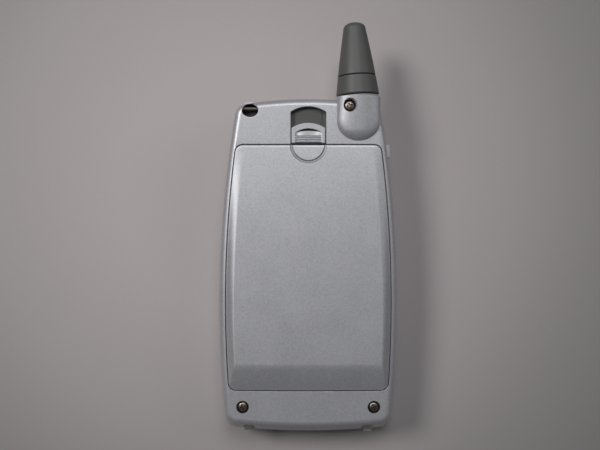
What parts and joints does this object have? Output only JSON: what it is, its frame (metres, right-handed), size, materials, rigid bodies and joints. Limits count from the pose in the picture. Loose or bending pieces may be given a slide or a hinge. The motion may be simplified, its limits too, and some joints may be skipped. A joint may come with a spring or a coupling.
{
  "type": "mobile phone",
  "caption": "Bar-shaped silver mobile phone with a pull-out antenna, latched battery pack that swings out of the back, keypad, display and side key.",
  "frame": {"origin": "on the centre line of the front bezel's resting plane, between display and keypad", "axes": "+X to the right seen from the back, +Y along the phone towards the antenna, +Z out of the back"},
  "size_m": [0.058, 0.1303, 0.0262],
  "materials": {
    "silver_paint": "fine metallic silver paint on plastic",
    "dark_plastic": "dark grey moulded plastic",
    "key_plastic": "pale grey keys",
    "window": "clear window with a dark border",
    "liquid_crystal": "reflective green-grey panel",
    "circuit_board": "green solder mask",
    "shield_steel": "tinned sheet",
    "mesh_steel": "black woven mesh",
    "spring_steel": "drawn wire",
    "contact_gold": "gold plated",
    "screw_metal": "bronze-toned nickel",
    "rubber_mat": "moulded silicone",
    "cell_wrap": "blue shrink wrap"
  },
  "bodies": {
    "case": {"rear_case": "silver_paint", "front_case": "silver_paint", "latch_plate": "dark_plastic", "antenna_collar": "dark_plastic", "lcd_frame": "dark_plastic", "io_connector": "dark_plastic", "antenna_tube": "dark_plastic", "display_window": "window", "lcd_panel": "liquid_crystal", "main_board": "circuit_board", "rf_shield": "shield_steel", "logic_shield": "shield_steel", "earpiece_receiver": "shield_steel", "microphone": "shield_steel", "vibration_motor": "shield_steel", "backup_cell": "shield_steel", "earpiece_mesh": "mesh_steel", "latch_spring": "spring_steel", "charge_contact_left": "contact_gold", "charge_contact_right": "contact_gold", "battery_terminal": "contact_gold", "antenna_bush": "contact_gold", "screw_bottom_left": "screw_metal", "screw_bottom_right": "screw_metal", "screw_antenna": "screw_metal", "keypad_mat": "rubber_mat"},
    "battery_pack": {"battery_cover": "silver_paint", "battery_tray": "dark_plastic", "battery_cell": "cell_wrap", "battery_board": "circuit_board"},
    "latch": {"latch_slider": "silver_paint"},
    "antenna": {"antenna_cap": "dark_plastic", "antenna_coil": "contact_gold", "antenna_whip": "spring_steel", "antenna_stop": "contact_gold"},
    "scroll": {"scroll_key": "key_plastic"},
    "side_button": {"side_key": "dark_plastic"},
    "vibrator": {"vibration_weight": "shield_steel"},
    "key_1_body": {"key_1": "key_plastic"},
    "key_2_body": {"key_2": "key_plastic"},
    "key_3_body": {"key_3": "key_plastic"},
    "key_4_body": {"key_4": "key_plastic"},
    "key_5_body": {"key_5": "key_plastic"},
    "key_6_body": {"key_6": "key_plastic"},
    "key_7_body": {"key_7": "key_plastic"},
    "key_8_body": {"key_8": "key_plastic"},
    "key_9_body": {"key_9": "key_plastic"},
    "key_star_body": {"key_star": "key_plastic"},
    "key_0_body": {"key_0": "key_plastic"},
    "key_hash_body": {"key_hash": "key_plastic"},
    "key_call_body": {"key_call": "key_plastic"},
    "key_end_body": {"key_end": "key_plastic"},
    "key_clear_body": {"key_clear": "key_plastic"},
    "soft_key_left_body": {"soft_key_left": "key_plastic"},
    "soft_key_right_body": {"soft_key_right": "key_plastic"}
  },
  "joints": [
    {"name": "battery_swing", "type": "hinge", "parent": "case", "child": "battery_pack", "pos_m": [0, -0.0405, 0.01948], "axis": [1, 0, 0], "range_deg": [0, 60]},
    {"name": "latch_slide", "type": "slide", "parent": "case", "child": "latch", "axis": [0, 0.9993, 0.0382], "range_m": [0, 0.003], "stiffness_N_per_m": 200, "springref_m": -0.002, "deforming": ["latch_spring"]},
    {"name": "antenna_slide", "type": "slide", "parent": "case", "child": "antenna", "axis": [-0.0523, 0.9973, 0.0523], "range_m": [0, 0.07]},
    {"name": "scroll_rock", "type": "hinge", "parent": "case", "child": "scroll", "pos_m": [0, -0.008, 0.0026], "axis": [1, 0, 0], "range_deg": [-2, 2], "stiffness_Nm_per_rad": 0.02},
    {"name": "side_key_press", "type": "slide", "parent": "case", "child": "side_button", "axis": [-1, 0, 0], "range_m": [0, 0.0005], "stiffness_N_per_m": 400, "springref_m": -0.0005},
    {"name": "vibration_spin", "type": "hinge", "parent": "case", "child": "vibrator", "pos_m": [-0.0145, 0.0468, 0.0093], "axis": [0, 1, 0], "continuous": true},
    {"name": "key_1_press", "type": "slide", "parent": "case", "child": "key_1_body", "axis": [0, 0, 1], "range_m": [0, 0.0006], "stiffness_N_per_m": 400, "springref_m": -0.0005},
    {"name": "key_2_press", "type": "slide", "parent": "case", "child": "key_2_body", "axis": [0, 0, 1], "range_m": [0, 0.0006], "stiffness_N_per_m": 400, "springref_m": -0.0005},
    {"name": "key_3_press", "type": "slide", "parent": "case", "child": "key_3_body", "axis": [0, 0, 1], "range_m": [0, 0.0006], "stiffness_N_per_m": 400, "springref_m": -0.0005},
    {"name": "key_4_press", "type": "slide", "parent": "case", "child": "key_4_body", "axis": [0, 0, 1], "range_m": [0, 0.0006], "stiffness_N_per_m": 400, "springref_m": -0.0005},
    {"name": "key_5_press", "type": "slide", "parent": "case", "child": "key_5_body", "axis": [0, 0, 1], "range_m": [0, 0.0006], "stiffness_N_per_m": 400, "springref_m": -0.0005},
    {"name": "key_6_press", "type": "slide", "parent": "case", "child": "key_6_body", "axis": [0, 0, 1], "range_m": [0, 0.0006], "stiffness_N_per_m": 400, "springref_m": -0.0005},
    {"name": "key_7_press", "type": "slide", "parent": "case", "child": "key_7_body", "axis": [0, 0, 1], "range_m": [0, 0.0006], "stiffness_N_per_m": 400, "springref_m": -0.0005},
    {"name": "key_8_press", "type": "slide", "parent": "case", "child": "key_8_body", "axis": [0, 0, 1], "range_m": [0, 0.0006], "stiffness_N_per_m": 400, "springref_m": -0.0005},
    {"name": "key_9_press", "type": "slide", "parent": "case", "child": "key_9_body", "axis": [0, 0, 1], "range_m": [0, 0.0006], "stiffness_N_per_m": 400, "springref_m": -0.0005},
    {"name": "key_star_press", "type": "slide", "parent": "case", "child": "key_star_body", "axis": [0, 0, 1], "range_m": [0, 0.0006], "stiffness_N_per_m": 400, "springref_m": -0.0005},
    {"name": "key_0_press", "type": "slide", "parent": "case", "child": "key_0_body", "axis": [0, 0, 1], "range_m": [0, 0.0006], "stiffness_N_per_m": 400, "springref_m": -0.0005},
    {"name": "key_hash_press", "type": "slide", "parent": "case", "child": "key_hash_body", "axis": [0, 0, 1], "range_m": [0, 0.0006], "stiffness_N_per_m": 400, "springref_m": -0.0005},
    {"name": "key_call_press", "type": "slide", "parent": "case", "child": "key_call_body", "axis": [0, 0, 1], "range_m": [0, 0.0006], "stiffness_N_per_m": 400, "springref_m": -0.0005},
    {"name": "key_end_press", "type": "slide", "parent": "case", "child": "key_end_body", "axis": [0, 0, 1], "range_m": [0, 0.0006], "stiffness_N_per_m": 400, "springref_m": -0.0005},
    {"name": "key_clear_press", "type": "slide", "parent": "case", "child": "key_clear_body", "axis": [0, 0, 1], "range_m": [0, 0.0006], "stiffness_N_per_m": 400, "springref_m": -0.0005},
    {"name": "soft_key_left_press", "type": "slide", "parent": "case", "child": "soft_key_left_body", "axis": [0, 0, 1], "range_m": [0, 0.0006], "stiffness_N_per_m": 400, "springref_m": -0.0005},
    {"name": "soft_key_right_press", "type": "slide", "parent": "case", "child": "soft_key_right_body", "axis": [0, 0, 1], "range_m": [0, 0.0006], "stiffness_N_per_m": 400, "springref_m": -0.0005}
  ]
}
